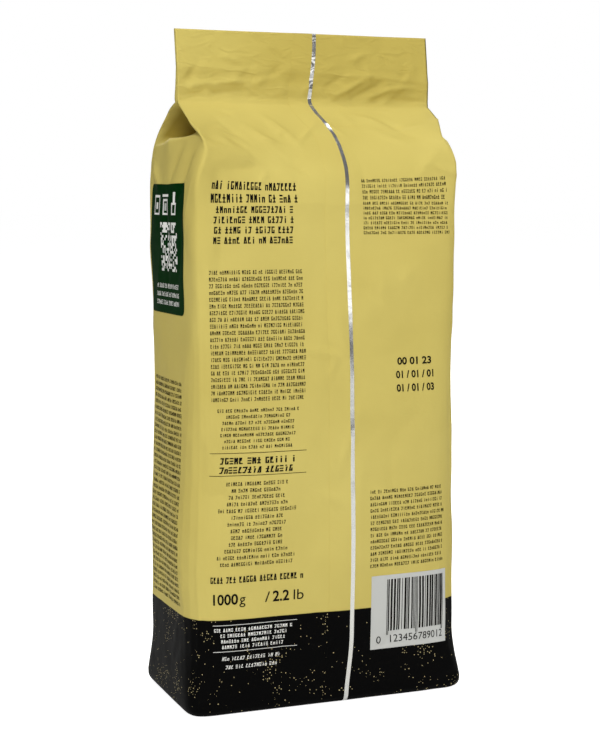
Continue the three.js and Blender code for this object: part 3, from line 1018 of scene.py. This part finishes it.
def glyph(shape, pick, left, low, wide, tall, lean, weight):
    """One greeked letter, picked at random."""
    for a, b, c, d, tilt in pick.choice(GLYPHS):
        slant = lean + tilt * wide / tall
        mark(shape, left + a * wide, low + b * tall, left + (c + weight) * wide, low + d * tall, slant)


def text_line(shape, pick, left, right, low, tall, wide, lean=0.0, weight=0.05):
    """One line of greeked words between left and right."""
    place = left
    while place + wide <= right + 0.01:
        letters = pick.randint(2, 9)
        for _ in range(letters):
            if place + wide > right + 0.01:
                break
            glyph(shape, pick, place, low, wide, tall, lean, weight)
            place += wide * 1.08
        place += wide * 0.8


def text_block(
    shape, seed, left, right, high, low, lines, tall, wide, centred=False, ragged=0.0, weight=0.05
):
    """Lines of greeked words from high down to low."""
    pick = random.Random(seed)
    pitch = (high - low - tall) / max(1, lines - 1)
    for line in range(lines):
        short = pick.uniform(0, ragged) * (right - left)
        start = left + (short / 2 if centred else 0)
        end = right - (short / 2 if centred else short)
        text_line(shape, pick, start, end, high - tall - line * pitch, tall, wide, weight=weight)


# %% The back panel's text, in black
RULE = 0.12  # half the thickness of a printed rule, in millimetres


def draw_back_text(shape):
    """The blocks of small text, the two rules, and the short dashes that the fin covers."""
    text_block(shape, 1, -58.2, -14.8, 247, 220.6, 6, 3.1, 1.8, centred=True, ragged=0.12, weight=0.1)
    text_block(shape, 2, 17, 62.2, 249, 224.5, 11, 1.35, 0.92, ragged=0.06)
    text_block(shape, 3, -58.8, -13.6, 208.5, 148.5, 20, 1.8, 0.98)
    text_block(shape, 4, -57, -15.5, 145, 126.5, 7, 1.5, 0.98, centred=True, ragged=0.3)
    text_block(shape, 5, -55.4, -16.3, 111, 71.5, 13, 1.7, 1.02, centred=True, ragged=0.4)
    text_block(shape, 6, 17.2, 57.6, 103, 65.5, 13, 1.6, 0.98, ragged=0.05)
    text_block(shape, 7, -57.6, -13.6, 66.6, 62.4, 1, 3.0, 1.5, weight=0.1)
    for level in (124.5, 114.0):
        strip(shape, -59, level - RULE, -13.6, level + RULE)
    text_line(shape, random.Random(8), -53.6, -18.6, 119.4, 3.0, 2.0, weight=0.14)
    text_line(shape, random.Random(9), -54.0, -19, 115.1, 3.0, 2.0, lean=0.2, weight=0.14)
    pick = random.Random(10)
    for _ in range(16):
        start = pick.uniform(60, 168)
        strip(shape, 8.0, start, 8.5, start + pick.uniform(1.5, 5))


print_piece("back_text", "black", draw_back_text)


# %% The gussets' text, in black
def draw_gusset_text(shape):
    """One long block of small text on each gusset."""
    text_block(shape, 11, -125, -81, 156, 50, 36, 1.7, 1.02)
    text_block(shape, 12, 72, 122, 150, 52, 34, 1.7, 1.02)


print_piece("gusset_text", "black", draw_gusset_text)


# %% Numbers and units
FIGURE_HEIGHT = 0.69  # the height of this font's figures, at size 1


def draw_number(shape, words, left, low, tall, right=None, bold=0.0):
    """Real characters, for plain numbers and units only."""
    curve = bpy.data.curves.new("number", "FONT")
    curve.body = words
    curve.size = 1
    curve.resolution_u = 3
    curve.offset = bold
    letters = bpy.data.objects.new("number", curve)
    bpy.context.scene.collection.objects.link(letters)
    bpy.context.view_layer.update()
    flat = letters.to_mesh()
    before = len(shape.verts)
    shape.from_mesh(flat)
    letters.to_mesh_clear()
    bpy.data.objects.remove(letters)
    shape.verts.ensure_lookup_table()
    made = shape.verts[before:]
    wide = max(v.co.x for v in made) - min(v.co.x for v in made)
    upright = tall / FIGURE_HEIGHT
    across = (right - left) / wide if right else upright
    for vert in made:
        vert.co = Vector((left + vert.co.x * across, low + vert.co.y * upright, 0))
    # Large flat faces would dip under the curved film, so the figures are cut into small squares.
    faces = {face for vert in made for face in vert.link_faces}
    edges = {edge for vert in made for edge in vert.link_edges}
    geom = [*made, *edges, *faces]
    for axis in (Vector((1, 0, 0)), Vector((0, 1, 0))):
        reach = [vert.co.dot(axis) for vert in made]
        for level in np.arange(min(reach) + 1, max(reach), 1.0):
            cut = bmesh.ops.bisect_plane(shape, geom=geom, plane_co=axis * level, plane_no=axis)
            geom = cut["geom"]


# (characters, left, low, tall, right, bold)
NUMBERS = [
    ("1000", -57.4, 53.4, 4.9, -45.4, 0.022),
    ("g", -43.6, 53.4, 4.9, -40.8, 0),
    ("/", -32.0, 53.4, 4.9, -29.7, 0),
    ("2.2", -28.4, 53.4, 4.9, -20.8, 0.022),
    ("lb", -19.2, 53.4, 4.9, -14.6, 0),
    ("00 01 23", 32.5, 162.6, 3.3, 50.5, 0.03),
    ("01 / 01 / 01", 31.5, 156.2, 3.3, 51.5, 0.03),
    ("01 / 01 / 03", 31.5, 149.8, 3.3, 51.5, 0.03),
]


def draw_numbers(shape):
    """The weight and, higher up on the right, the three stamped lines."""
    for row in NUMBERS:
        draw_number(shape, *row)


print_piece("numbers", "black", draw_numbers)

# %% [markdown]
# ## The bar code
#
# The bars stand on a pale grey panel. Their widths are drawn at random, one to three modules
# of a third of a millimetre each, so they code nothing. The longer pairs at the two sides
# and in the middle are the guard bars.

# %% The bar code
CODE_LEFT, CODE_RIGHT = 25.9, 55.8
CODE_LOW, CODE_HIGH = 33.4, 59.0
MODULES = 95


def draw_label(shape):
    """The pale panel under the bars."""
    patch(shape, 18.1, 24.8, 58, 61.2)


def draw_bars(shape):
    """The bars, the guard bars and the figures."""
    pick = random.Random(21)
    module = (CODE_RIGHT - CODE_LEFT) / MODULES
    place = 3
    while place < MODULES - 4:
        bar = pick.randint(1, 3)
        if not 44 < place < 50:
            left = CODE_LEFT + place * module
            strip(shape, left, CODE_LOW, left + bar * module, CODE_HIGH)
        place += bar + pick.randint(1, 3)
    for guard in (0, 2, 46, 48, MODULES - 3, MODULES - 1):
        left = CODE_LEFT + guard * module
        strip(shape, left, CODE_LOW - 2.0, left + module, CODE_HIGH)
    draw_number(shape, "0", 20.8, 27.6, 3.6)
    draw_number(shape, "123456", 27, 27.6, 3.6, right=40.6)
    draw_number(shape, "789012", 41.8, 27.6, 3.6, right=55.4)


print_piece("code_panel", "pale grey", draw_label)
print_piece("code_bars", "black", draw_bars, lift=2 * INK_LIFT)


# %% The text on the black band, in white
def draw_band_text(shape):
    """A block of text between two rules, and two lines in italics."""
    for level in (43.5, 31.0):
        strip(shape, -56.5, level - RULE, -17, level + RULE)
    text_block(shape, 31, -56, -18, 42.0, 32.4, 4, 1.6, 1.15, centred=True, ragged=0.3)
    pick = random.Random(32)
    text_line(shape, pick, -52, -24.5, 26.8, 1.7, 1.15, lean=0.22)
    text_line(shape, pick, -50, -26, 22.8, 1.7, 1.15, lean=0.22)


print_piece("band_text", "white", draw_band_text)

# %% [markdown]
# ## The green panel on the left gusset
#
# A dark green panel with rounded corners holds a row of plain white pictograms, a square of
# random modules and three lines of text. The pictograms are a loop, a bin and a bottle.

# %% The green panel
GREEN_LEFT, GREEN_RIGHT = -131, -79.5
GREEN_LOW, GREEN_HIGH = 187, 246
GREEN_CORNER = 3.0


def draw_green_panel(shape):
    """A patch whose points past the round corners are drawn in to them."""
    made = patch(shape, GREEN_LEFT, GREEN_LOW, GREEN_RIGHT, GREEN_HIGH)
    middle = Vector(((GREEN_LEFT + GREEN_RIGHT) / 2, (GREEN_LOW + GREEN_HIGH) / 2))
    half = Vector((GREEN_RIGHT - GREEN_LEFT, GREEN_HIGH - GREEN_LOW)) / 2
    half -= Vector((GREEN_CORNER, GREEN_CORNER))
    for vert in made:
        beyond = Vector((
            max(0, abs(vert.co.x - middle.x) - half.x),
            max(0, abs(vert.co.y - middle.y) - half.y),
        ))
        if beyond.length > GREEN_CORNER:
            beyond *= GREEN_CORNER / beyond.length
            vert.co.x = middle.x + math.copysign(half.x + beyond.x, vert.co.x - middle.x)
            vert.co.y = middle.y + math.copysign(half.y + beyond.y, vert.co.y - middle.y)


def draw_module_square(shape, left, low, size, count, seed):
    """A square of random modules, which codes nothing."""
    pick = random.Random(seed)
    cell = size / count
    for row in range(count):
        for column in range(count):
            if pick.random() < 0.5:
                x, y = left + column * cell, low + row * cell
                mark(shape, x, y, x + cell * 1.02, y + cell * 1.02)


def draw_pictograms(shape):
    """A sorting row: a loop, a bin and a bottle, in outline."""
    boxes = [(-123, 233.5, -114, 242), (-109, 233.5, -101.5, 240.5), (-96, 233.5, -90.5, 239)]
    for left, low, right, high in boxes:
        strip(shape, left, low, right, low + 0.9)
        strip(shape, left, high - 0.9, right, high)
        strip(shape, left, low + 0.9, left + 1.1, high - 0.9)
        strip(shape, right - 1.1, low + 0.9, right, high - 0.9)
    mark(shape, -110, 241.3, -100.5, 242.3)
    mark(shape, -94.4, 239, -92.1, 243)
    mark(shape, -120, 236.2, -117, 239.2)
    mark(shape, -107, 235.5, -106, 238.8)
    mark(shape, -104.6, 235.5, -103.6, 238.8)


def draw_green_marks(shape):
    """Everything white on the green panel."""
    draw_pictograms(shape)
    draw_module_square(shape, -112, 207, 23, 19, 41)
    text_block(shape, 42, -120, -85, 201, 191, 3, 2.1, 1.25, centred=True, ragged=0.1)


print_piece("green_panel", "green", draw_green_panel)
print_piece("green_marks", "white", draw_green_marks, lift=2 * INK_LIFT)


# %% [markdown]
# ## The front panel
#
# The front shows a plain motif of three coffee beans, a row of strength dots, one greeked
# line and the weight. The valve sits behind five pinholes inside a raised ring.


# %% Round marks
def disc(shape, across, up, wide, tall, turn=0.0, step=STEP):
    """An ellipse on the web: a square patch drawn round, then turned."""
    made = patch(shape, -1, -1, 1, 1, step=2 * step / max(wide, tall))
    for vert in made:
        x, y = vert.co.x, vert.co.y
        flat_x = x * math.sqrt(1 - y * y / 2) * wide / 2
        flat_y = y * math.sqrt(1 - x * x / 2) * tall / 2
        vert.co.x = across + flat_x * math.cos(turn) - flat_y * math.sin(turn)
        vert.co.y = up + flat_x * math.sin(turn) + flat_y * math.cos(turn)


BEANS = [(-15, 152, 0.5), (15, 152, -0.5), (0, 122, 0.0)]  # (from the middle, up the web, turn)
BEAN_WIDE, BEAN_TALL = 25, 36
DOT, DOT_PITCH, DOT_UP = 6, 10, 88


def draw_beans(shape):
    """The three beans and the row of dots."""
    for across, up, turn in BEANS:
        disc(shape, FRONT_MIDDLE + across, up, BEAN_WIDE, BEAN_TALL, turn)
    for index in range(5):
        disc(shape, FRONT_MIDDLE + DOT_PITCH * (index - 2), DOT_UP, DOT, DOT, step=0.8)


def draw_grooves(shape):
    """The groove of each bean: a run of short strokes along an S."""
    for across, up, turn in BEANS:
        steps = 24
        for index in range(steps):
            ends = []
            for share in (index / steps, (index + 1) / steps):
                along = (share - 0.5) * (BEAN_TALL - 2)
                aside = 2.6 * math.sin((share - 0.5) * 2 * math.pi)
                ends.append((aside, along))
            corners = [(ends[0][0] - 0.6, ends[0][1]), (ends[0][0] + 0.6, ends[0][1])]
            corners += [(ends[1][0] + 0.6, ends[1][1]), (ends[1][0] - 0.6, ends[1][1])]
            made = []
            for x, y in corners:
                over = FRONT_MIDDLE + across + x * math.cos(turn) - y * math.sin(turn)
                made.append(shape.verts.new((over, up + x * math.sin(turn) + y * math.cos(turn), 0)))
            shape.faces.new(made)


def draw_front_text(shape):
    """The rules above and below the dots, the greeked line and the weight."""
    left, right = FRONT_MIDDLE - 42, FRONT_MIDDLE + 42
    for level in (100.0, 78.0):
        strip(shape, left, level - 0.2, right, level + 0.2)
    draw_number(shape, "1 kg", FRONT_MIDDLE - 9, 60, 8, right=FRONT_MIDDLE + 9)
    text_block(shape, 53, left + 14, right - 14, 72.5, 70, 1, 1.9, 1.2, centred=True, ragged=0.1)


print_piece("front_beans", "brown", draw_beans)
print_piece("front_grooves", "pale grey", draw_grooves, lift=2 * INK_LIFT)
print_piece("front_text", "black", draw_front_text)


# %% The valve's pinholes
PINHOLE = 0.9
PINHOLE_RING = 3.2  # four of them stand this far from the fifth


def draw_pinholes(shape):
    """Five holes, as on a die."""
    disc(shape, FRONT_MIDDLE, VALVE_UP, PINHOLE, PINHOLE, step=0.3)
    for index in range(4):
        angle = math.pi / 4 + index * math.pi / 2
        across = FRONT_MIDDLE + PINHOLE_RING * math.cos(angle)
        up = VALVE_UP + PINHOLE_RING * math.sin(angle)
        disc(shape, across, up, PINHOLE, PINHOLE, step=0.3)


print_piece("pinholes", "black", draw_pinholes)


# %% [markdown]
# ## The weld under the base, and the valve
#
# These keep their CAD shapes. The weld is the same black laminate, crimped crosswise. The
# valve is moulded polyethylene with a silicone disc and a paper filter. It sits inside.

# %% Finishes for the CAD pieces
def mottled(name, code, other, roughness, size_mm, depth_mm):
    """A finish that drifts between two close colours, with a fine grain of the given size."""
    finish, tree, shader = new_material(name, Roughness=roughness)
    spot = add(tree, "ShaderNodeTexCoord").outputs["Object"]
    grain = add(
        tree, "ShaderNodeTexNoise", [("Vector", spot)],
        Scale=1000 / size_mm, Detail=3, Roughness=0.5,
    )
    tone = add(tree, "ShaderNodeMix", [("Factor", grain.outputs["Fac"])], [("data_type", "RGBA")])
    tone.inputs[6].default_value = colour(code)
    tone.inputs[7].default_value = colour(other)
    tree.links.new(tone.outputs[2], shader.inputs["Base Color"])
    bump = add(
        tree, "ShaderNodeBump", [("Height", grain.outputs["Fac"])],
        Strength=0.6, Distance=depth_mm * MM,
    )
    tree.links.new(bump.outputs["Normal"], shader.inputs["Normal"])
    return finish


NODE_FINISHES = {
    "bottom_seal": mottled("black printed laminate", BLACK, "#101010", 0.45, 3, 0.3),
    "valve_body": mottled("moulded polyethylene", "#e8e6de", "#e1dfd6", 0.4, 2, 0.02),
    "valve_cap": mottled("moulded polyethylene cap", "#e8e6de", "#e1dfd6", 0.4, 2, 0.02),
    "valve_disc": mottled("grey silicone rubber", "#8d8f91", "#85878a", 0.55, 1, 0.02),
    "valve_filter": mottled("white filter paper", "#ece8dc", "#ddd7c6", 0.9, 0.6, 0.08),
}
for node, finish in NODE_FINISHES.items():
    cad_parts[node].data.materials.clear()
    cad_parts[node].data.materials.append(finish)
print("finished", len(NODE_FINISHES), "CAD pieces")

# %% [markdown]
# ## The studio
#
# A plain pale floor and soft light. The key hangs high and to the left of the camera, and a
# wide soft light overhead fills the shoulder. Weaker lights at the left, the right and behind
# keep the other sides readable. The silver cut edge is a mirror, so it needs something to
# reflect: two cards to the right of the camera, a bright one and, below it, a dim one. The
# floor glows mostly for the camera, so it looks white and puts little light on the bag.

# %% The studio
scene = bpy.context.scene
scene.view_settings.view_transform = "Standard"
world = bpy.data.worlds.new("studio")
scene.world = world
world.use_nodes = True
sky = world.node_tree
backdrop = sky.nodes["Background"]
ray = add(sky, "ShaderNodeLightPath")
seen = add(sky, "ShaderNodeMapRange", [("Value", ray.outputs["Is Camera Ray"])], To_Min=0.05, To_Max=1.0)
sky.links.new(seen.outputs["Result"], backdrop.inputs["Strength"])
backdrop.inputs["Color"].default_value = (1, 1, 1, 1)


def soft_light(name, place, target_height, size, watts):
    """A round softbox that faces a height on the bag's axis."""
    data = bpy.data.lights.new(name, "AREA")
    data.shape = "DISK"
    data.size = size
    data.energy = watts
    lamp = bpy.data.objects.new(name, data)
    lamp.location = place
    aim = Vector((0, 0, target_height)) - Vector(place)
    lamp.rotation_euler = aim.to_track_quat("-Z", "Y").to_euler()
    scene.collection.objects.link(lamp)


# (name, place, height it faces on the bag's axis, diameter in metres, watts)
LIGHTS = [
    ("key light", (-0.6, -1.38, 1.36), 0.16, 0.7, 21.8),
    ("left light", (-1.45, -0.05, 0.7), 0.15, 0.8, 1.3),
    ("top light", (-0.2, -0.4, 1.9), 0.1, 1.2, 12),
    ("bright card", (0.56, -1.5, 0.56), 0.25, 0.56, 1.3),
    ("dim card", (0.62, -1.5, 0.02), 0.15, 0.5, 0.25),
    ("right light", (1.4, 0.6, 0.7), 0.15, 0.8, 6),
    ("back light", (0.3, 1.8, 1.2), 0.15, 1.4, 18),
]
for light in LIGHTS:
    soft_light(*light)
print("the studio has", len(LIGHTS), "lights")

# %% The floor
FLOOR_REACH = 30  # metres from the middle to each edge, so that no edge is seen
FLOOR_GAP = 0.2 * MM  # the floor lies this far below the bag, so that the two don't share a plane
floor_shape = bmesh.new()
bmesh.ops.create_grid(floor_shape, x_segments=1, y_segments=1, size=FLOOR_REACH)
bmesh.ops.translate(floor_shape, verts=floor_shape.verts, vec=(0, 0, -FLOOR_GAP))
floor = object_from(floor_shape, "floor", smooth_faces=False)
floor_finish, tree, shader = new_material(
    "pale studio floor", Roughness=0.9, Base_Color=colour("#e0e0de"), Emission_Color=(1, 1, 1, 1)
)
seen = add(tree, "ShaderNodeLightPath")
glow = add(tree, "ShaderNodeMapRange", [("Value", seen.outputs["Is Camera Ray"])], To_Min=0.12, To_Max=0.96)
tree.links.new(glow.outputs["Result"], shader.inputs["Emission Strength"])
floor.data.materials.append(floor_finish)
